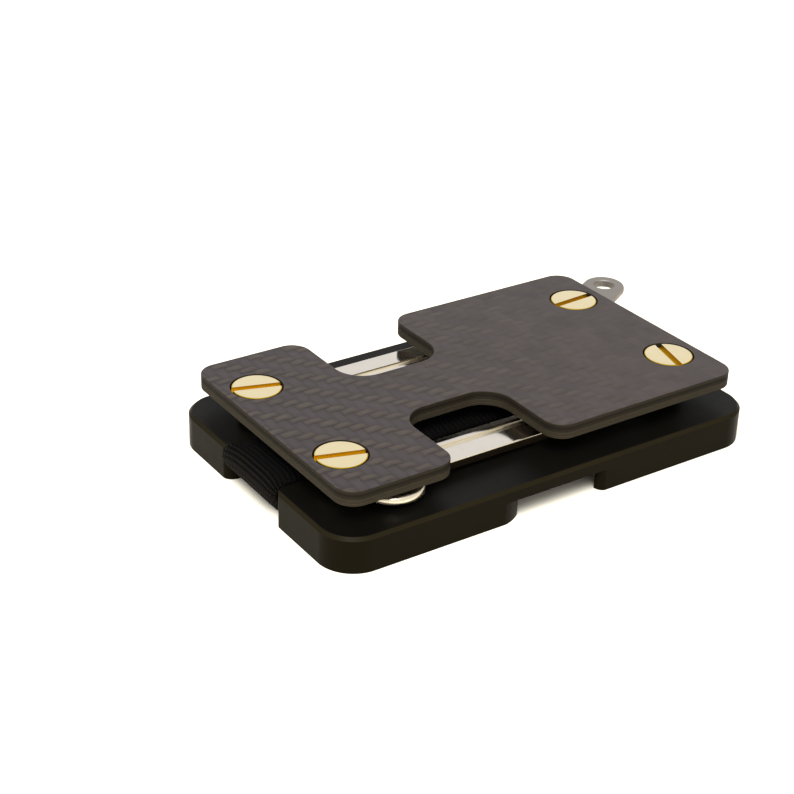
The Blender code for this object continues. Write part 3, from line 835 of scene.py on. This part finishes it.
def make_plate(weave, edge):
    (left, front, bottom), (right, rear, top) = PLATE_LOW, PLATE_HIGH
    middle = (front + rear) / 2
    low, high = middle - BRIDGE_HALF_WIDTH, middle + BRIDGE_HALF_WIDTH
    start, end = FINGER_NOTCH_X
    outer, inner = PLATE_CORNER, FINGER_NOTCH_CORNER
    outline = rounded([
        (left, front, outer), (start, front, outer), (start, low, inner),
        (end, low, inner), (end, front, outer), (right, front, outer),
        (right, rear, outer), (end, rear, outer), (end, high, inner),
        (start, high, inner), (start, rear, outer), (left, rear, outer),
    ])
    plies = ply_lines(outline, bottom, top)
    block = stacked("top_plate", eased(outline, bottom, top, PLATE_EASE, PLATE_EASE, plies))
    places = [post_place(corner) for corner in CORNERS]
    tools = drills(POST_RADIUS + HOLE_GAP, bottom - OVERCUT, top + OVERCUT, places)
    recess = top - HEAD_HEIGHT - HOLE_GAP
    tools += drills(HEAD_RADIUS + HOLE_GAP, recess, top + OVERCUT, places)
    mesh = carved(block, tools)
    for face in mesh.polygons:
        face.material_index = 0 if abs(face.normal.z) > WEAVE_FACING else 1
    shown("carbon_plate", mesh, (weave, edge), "frame", "top_plate")


def band_path():
    """The side view of the band's outer face, as (x, z) points."""
    (left, _, bottom), (right, _, top) = BAND_LOW, BAND_HIGH
    shoulder, hip, toe = BAND_RADII
    return rounded([
        (left, top, shoulder), (left, BAND_WAIST, hip), (left + BAND_FOOT_INSET, bottom, toe),
        (right - BAND_FOOT_INSET, bottom, toe), (right, BAND_WAIST, hip), (right, top, shoulder),
    ])


def milestones(path):
    """How far along a closed path each of its points is, and last the whole way round."""
    lengths = [0.0]
    for first, last in zip(path, path[1:] + path[:1]):
        lengths.append(lengths[-1] + (last - first).length)
    return lengths


def resampled(path, count):
    """Evenly spaced points along an anticlockwise closed path, with the outward normal at each."""
    lengths = milestones(path)
    closed = path + path[:1]
    points = []
    piece = 0
    for i in range(count):
        at = lengths[-1] * i / count
        while lengths[piece + 1] < at:
            piece += 1
        first, last = closed[piece], closed[piece + 1]
        share = (at - lengths[piece]) / max(1e-9, lengths[piece + 1] - lengths[piece])
        points.append(first.lerp(last, share))
    normals = []
    for i in range(count):
        along = (points[(i + 1) % count] - points[i - 1]).normalized()
        normals.append(Vector((along.y, -along.x)))
    return points, normals


def band_section():
    """The strip's cross-section: (y, depth under the outer face, share of the ribs) points."""
    edge = BAND_THICKNESS / 2
    flat = BAND_HALF_WIDTH - edge
    outer = [(flat * (2 * i / BAND_COLUMNS - 1), 0.0, 1.0) for i in range(BAND_COLUMNS + 1)]
    marks = [flat * (1 - 2 * i / INNER_COLUMNS) for i in range(INNER_COLUMNS + 1)]
    inner = [(y, BAND_THICKNESS, 0.0) for y in marks]
    turns = [math.pi * i / BAND_EDGE_STEPS for i in range(1, BAND_EDGE_STEPS)]
    right = [
        (flat + edge * math.sin(a), edge * (1 - math.cos(a)), (1 + math.cos(a)) / 2) for a in turns
    ]
    left = [(-y, depth, share) for y, depth, share in reversed(right)]
    return outer + right + inner + left


def smooth_step(value, start, end):
    share = min(1.0, max(0.0, (value - start) / (end - start)))
    return share * share * (3 - 2 * share)


def make_band(material):
    """A ribbed strip swept round its path, and the path's length.

    Its edges are thin. At the frame's ends the front one curls in and the rear one stands out.
    """
    path = band_path()
    length = milestones(path)[-1]
    ribs = round(length / RIB_PITCH)
    step = length / ribs / RIB_STEPS
    points, normals = resampled(path, ribs * RIB_STEPS)
    section = band_section()
    bm = bmesh.new()
    uv_layer = bm.loops.layers.uv.new("weave")
    rings, rows = [], []
    for i, (point, normal) in enumerate(zip(points, normals)):
        free = smooth_step(abs(point.x), *FREE_EDGE_X)
        side = 1 - 2 * smooth_step(point.x, -BOW_CHANGE_X, BOW_CHANGE_X)
        deep = RIB_DEPTH * (RIB_LEAST + (1 - RIB_LEAST) * smooth_step(normal.y, 0.0, 0.5))
        ring, row = [], []
        for y, depth, share in section:
            out = abs(y) / BAND_HALF_WIDTH
            turn = (i - side * RIB_BOW * out**4 / step) / RIB_STEPS
            valley = 1 - abs(math.sin(math.pi * turn)) ** RIB_POWER
            curl, spread = (FRONT_CURL, 0) if y < 0 else (-REAR_BULGE, REAR_SPREAD)
            loose = free * out**5
            sunk = depth + (deep * valley + BAND_THINNING * out**6) * share + curl * loose
            at = point - normal * sunk
            ring.append(bm.verts.new((at.x, BAND_Y + y + spread * loose, at.y)))
            row.append(turn)
        rings.append(ring)
        rows.append(row)
    across = [0.0]
    for (y0, d0, _), (y1, d1, _) in zip(section, section[1:] + section[:1]):
        across.append(across[-1] + math.hypot(y1 - y0, d1 - d0) / STITCH_PITCH)
    for i, ring in enumerate(rings):
        after = (i + 1) % len(rings)
        wrap = ribs if after == 0 else 0
        for j in range(len(section)):
            k = (j + 1) % len(section)
            face = bm.faces.new((ring[j], rings[after][j], rings[after][k], ring[k]))
            marks = (
                (rows[i][j], across[j]), (rows[after][j] + wrap, across[j]),
                (rows[after][k] + wrap, across[j + 1]), (rows[i][k], across[j + 1]),
            )
            for loop, mark in zip(face.loops, marks):
                loop[uv_layer].uv = mark
    mesh = finished(bm, "elastic_band")
    band = shown("elastic_webbing", mesh, [material], "frame", "elastic_band")
    return band, length


def cross_slot(name, bottom, top):
    """The cutter for a screwdriver's slot, longer than the head is wide."""
    reach, half = HEAD_RADIUS + OVERCUT, SLOT_WIDTH / 2
    return prism(name, box_outline((-reach, reach), (-half, half)), bottom, top)


def screw_mesh():
    bottom, top = span("screw_front_left")[0].z, PLATE_HIGH.z
    under = top - HEAD_HEIGHT
    start = bottom + THREAD_LEAD
    pitch = (under - THREAD_RUNOUT - start) / THREAD_TURNS
    thread = []
    for i in range(THREAD_TURNS):
        z = start + pitch * i
        thread += [(SHANK_RADIUS - THREAD_DEPTH, z), (SHANK_RADIUS, z + pitch / 2)]
    corner = HEAD_EDGE * 0.3
    profile = [
        (0, bottom), (SHANK_RADIUS - SCREW_TIP_CHAMFER, bottom), *thread,
        (SHANK_RADIUS - SCREW_EDGE, under), (HEAD_RADIUS - SCREW_EDGE, under),
        (HEAD_RADIUS, under + SCREW_EDGE), (HEAD_RADIUS, top - HEAD_EDGE),
        (HEAD_RADIUS - corner, top - corner), (HEAD_RADIUS - HEAD_EDGE, top), (0, top),
    ]
    slot = cross_slot("screw_slot", top - SLOT_DEPTH, top + OVERCUT)
    mesh = carved(turned("slotted_screw", profile, closed=False), [slot])
    for face in mesh.polygons:
        # Painted shade: every face but the head's top, the slot among them, takes the darker brass.
        face.material_index = 0 if face.center.z > top - FACE_MARGIN else 1
    return mesh


def post_mesh():
    start, end = span("barrel_post_front_left")
    bottom, top, edge = start.z, end.z, POST_EDGE
    shoulder = bottom + FLANGE_HEIGHT
    bore_end = span("screw_front_left")[0].z - BORE_CLEARANCE
    profile = (
        (0, bottom), (FLANGE_RADIUS - edge, bottom), (FLANGE_RADIUS, bottom + edge),
        (FLANGE_RADIUS, shoulder - edge), (FLANGE_RADIUS - edge, shoulder),
        (POST_RADIUS, shoulder), (POST_RADIUS, top - edge), (POST_RADIUS - edge, top),
        (POST_BORE_RADIUS, top), (POST_BORE_RADIUS, bore_end), (0, bore_end),
    )
    slot = cross_slot("post_slot", bottom - OVERCUT, bottom + FLANGE_HEIGHT / 2)
    return carved(turned("barrel_post", profile, closed=False), [slot])


def make_fastenings(faced, deep):
    screw, post = screw_mesh(), post_mesh()
    for corner in CORNERS:
        at, angle = post_place(corner), SLOT_ANGLES[corner]
        shown(f"brass_screw_{corner}", screw.copy(), [faced, deep], "frame",
              f"screw_{corner}", at, angle)
        shown(f"brass_post_{corner}", post.copy(), [faced], "frame",
              f"barrel_post_{corner}", at, angle)


def make_washers(material):
    names = [f"{owner}_washer_{level}" for owner in ("key_front", "key_rear", "loop")
             for level in ("lower", "upper")]
    edge = WASHER_EDGE
    inner = POST_RADIUS + HOLE_GAP
    for name in [*names, "spacer_sleeve"]:
        start, end = span(name)
        outer = (end.x - start.x) / 2
        profile = (
            (outer, end.z - edge), (outer, start.z + edge), (outer - edge, start.z),
            (inner + edge, start.z), (inner, start.z + edge), (inner, end.z - edge),
            (inner + edge, end.z), (outer - edge, end.z),
        )
        mesh = turned(name, profile, closed=True)
        middle = ((start + end) / 2).to_2d()
        shown(f"nylon_{name}", mesh, [material], "frame", name, middle)


def groove_sides(y_range, face, depth):
    """The (y, z) sides of a groove with sloping walls: a negative depth is cut upwards."""
    y0, y1 = y_range
    reach = abs(depth) * GROOVE_SLOPE
    floor, mouth = face - depth, face + depth
    return (y0 - reach, mouth), (y0 + reach, floor), (y1 - reach, floor), (y1 + reach, mouth)


def key_mesh():
    """A key whose flats are plated. Its edge and grooves show the metal, and the blade's sides are
    painted dark, as painted shade and a painted dark reflection.
    """
    bottom, top = (corner.z for corner in span("key_front"))
    outline = key_outline()
    least = BLADE_EASE / BOW_EASE
    shares = [1 - (1 - least) * smooth_step(p.x, *EASE_CHANGE_X) for p in outline]
    block = stacked("key", eased(outline, bottom, top, BOW_UNDER_EASE, BOW_EASE, shares=shares))
    hole = circle(POST_RADIUS + HOLE_GAP)
    tools = [prism("key_hole", hole, bottom - OVERCUT, top + OVERCUT)]
    beyond = BLADE_EDGE_Y + OVERCUT
    fall = BEVEL_DEPTH / (BLADE_EDGE_Y - BEVEL_Y)
    low_side = top - fall * (beyond - BEVEL_Y)
    above = top + fall * OVERCUT
    bevel = ((BEVEL_Y - OVERCUT, above), (beyond, low_side), (beyond, above))
    groove = groove_sides(TOP_GROOVE_Y, top, TOP_GROOVE_DEPTH)
    under = groove_sides(UNDER_GROOVE_Y, bottom, -UNDER_GROOVE_DEPTH)
    for name, sides in (("top_groove", groove), ("bevel", bevel), ("under_groove", under)):
        points = [Vector(p) for p in sides]
        tools.append(prism(name, points, GROOVE_START, BLADE_END + OVERCUT, ALONG_X))
    mesh = carved(block, tools)
    for face in mesh.polygons:
        x, y, z = face.center
        y0, y1 = TOP_GROOVE_Y if z > (bottom + top) / 2 else UNDER_GROOVE_Y
        in_groove = bottom + FLAT_MARGIN < z < top - FLAT_MARGIN and y0 < y < y1
        on_side = abs(face.normal.z) < FLAT_FACING and not in_groove
        # Painted shade and dark reflection: the blade's sides below the ease are coloured dark.
        shaded_blade_side = on_side and x > EASE_CHANGE_X[1] and z < top - BLADE_EASE
        face.material_index = 2 if shaded_blade_side else 1 if on_side or in_groove else 0
    return mesh


def crease_blade(mesh, spine_side):
    """Keeps the long edges of the grooves and the bevel crisp: they turn too little for shown."""
    sharp = mesh.attributes["sharp_edge"].data
    from_spine, from_edge = CREASE_MARGINS
    for edge in mesh.edges:
        first, last = (mesh.vertices[i].co / MM for i in edge.vertices)
        inside = SPINE_Y + from_spine < -first.y * spine_side < BLADE_EDGE_Y - from_edge
        if inside and abs(last.x - first.x) > CREASE_LENGTH:
            sharp[edge.index].value = True


def make_keys(finishes):
    """finishes are those of the flats, the bare metal and the blade's edge, which is painted dark as
    painted shade and a painted dark reflection.
    """
    front = key_mesh()
    rear = front.copy()
    rear.transform(Matrix.Scale(-1, 4, (0, 1, 0)))
    rear.flip_normals()
    for side, mesh, spine_side in (("front", front, -1), ("rear", rear, 1)):
        at = post_place(f"{side}_left")
        shown(f"{side}_key_blank", mesh, finishes, f"{side}_key", f"key_{side}", at)
        crease_blade(mesh, spine_side)


def flared_drill(middle, bottom, top):
    """The cutter for the ring's hole, whose two mouths are rounded."""
    mouth = [
        (HOLE_EASE * (1 - math.sin(a)), HOLE_EASE * (1 - math.cos(a))) for a in quarter_turn()
    ]
    waist = circle(LOOP_HOLE_RADIUS, middle)
    sections = [(inset(waist, -HOLE_EASE), bottom - OVERCUT)]
    sections += [(inset(waist, -out), bottom + up) for out, up in mouth]
    sections += [(inset(waist, -out), top - down) for out, down in reversed(mouth)]
    sections.append((inset(waist, -HOLE_EASE), top + OVERCUT))
    return stacked("ring_hole", sections)


def make_loop(material):
    bottom, top = (corner.z for corner in span("lanyard_loop"))
    ring = Vector((LOOP_LENGTH, 0))
    lean = math.degrees(math.asin((LOOP_EYE_RADIUS - LOOP_RING_RADIUS) / LOOP_LENGTH))
    side = 90 - lean
    outline = arc(ring, LOOP_RING_RADIUS, -side, side)
    outline += arc(Vector((0, 0)), LOOP_EYE_RADIUS, side, 360 - side)
    block = stacked("lanyard_loop", eased(outline, bottom, top, LOOP_EASE, LOOP_EASE))
    tools = drills(POST_RADIUS + HOLE_GAP, bottom - OVERCUT, top + OVERCUT, [Vector((0, 0))])
    tools.append(flared_drill(ring, bottom, top))
    shown("steel_lanyard_loop", carved(block, tools), [material], "loop", "lanyard_loop",
          post_place("rear_right"), LOOP_ANGLE)


# Stage


def make_camera():
    azimuth, elevation = math.radians(CAMERA_AZIMUTH), math.radians(CAMERA_ELEVATION)
    back = Vector((
        math.sin(azimuth) * math.cos(elevation), -math.cos(azimuth) * math.cos(elevation),
        math.sin(elevation),
    ))
    camera = bpy.data.objects.new("camera", bpy.data.cameras.new("camera"))
    bpy.context.scene.collection.objects.link(camera)
    camera.data.lens = CAMERA_LENS
    camera.data.clip_start = 0.01
    camera.location = ORIGIN + (CAMERA_TARGET + back * CAMERA_DISTANCE) * MM
    roll = Matrix.Rotation(math.radians(CAMERA_ROLL), 3, "Z")
    camera.rotation_euler = (back.to_track_quat("Z", "Y").to_matrix() @ roll).to_euler()
    bpy.context.scene.camera = camera


def make_stage(material):
    bm = bmesh.new()
    bmesh.ops.create_grid(bm, x_segments=FLOOR_CELLS, y_segments=FLOOR_CELLS, size=FLOOR_REACH)
    mesh = bpy.data.meshes.new("paper_floor")
    bm.to_mesh(mesh)
    bm.free()
    mesh.materials.append(material)
    floor = bpy.data.objects.new("paper_floor", mesh)
    bpy.context.scene.collection.objects.link(floor)

    world = bpy.data.worlds.new("studio")
    world.use_nodes = True
    sky = world.node_tree.nodes["Background"]
    sky.inputs["Color"].default_value = (1, 1, 1, 1)
    sky.inputs["Strength"].default_value = SKY
    bpy.context.scene.world = world

    lamp = bpy.data.lights.new("softbox", "AREA")
    lamp.shape = "SQUARE"
    lamp.size = SOFTBOX_SIDE
    lamp.energy = SOFTBOX_POWER
    softbox = bpy.data.objects.new("softbox", lamp)
    softbox.location = SOFTBOX_PLACE
    softbox.rotation_euler = softbox.location.to_track_quat("Z", "Y").to_euler()
    bpy.context.scene.collection.objects.link(softbox)
    bpy.context.scene.view_settings.view_transform = "Standard"


make_camera()
make_stage(floor_material())
make_frame([
    # Painted light: the top is painted darker as shade from the plate, the sides paler and the chamfer
    # palest as a highlight.
    anodised_material("anodised_top_painted_shade", 0.055, (0.0020, 0.0017, 0.0013), (0.0034, 0.0029, 0.0022)),
    anodised_material("anodised_side_painted_light", 0.025, (0.0040, 0.0030, 0.0010), (0.0056, 0.0043, 0.0016)),
    anodised_material("anodised_chamfer_painted_highlight", 0.02, (0.0090, 0.0072, 0.0030), (0.0120, 0.0096, 0.0042)),
])
make_plate(weave_material(), laminate_edge_material())
elastic, elastic_length = make_band(elastic_material())
make_fastenings(
    brass_material("satin_brass", (0.84, 0.72, 0.445), 0.18),
    # Painted shade: a darker brass for the slot and the head's sides.
    brass_material("brass_painted_recess_shade", (0.58, 0.37, 0.008), 0.3),
)
make_washers(nylon_material())
make_keys([
    metal_material("bright_plating", (0.735, 0.685, 0.615), 0.06, 0.002),
    metal_material("bare_key_metal", (0.79, 0.70, 0.53), 0.22, 0.004),
    # Painted shade and dark reflection on the blade's sides.
    metal_material("key_edge_painted_shade", (0.035, 0.026, 0.015), 0.4, 0.004),
])
make_loop(metal_material("satin_steel", (0.29, 0.265, 0.24), 0.6, 0.004))
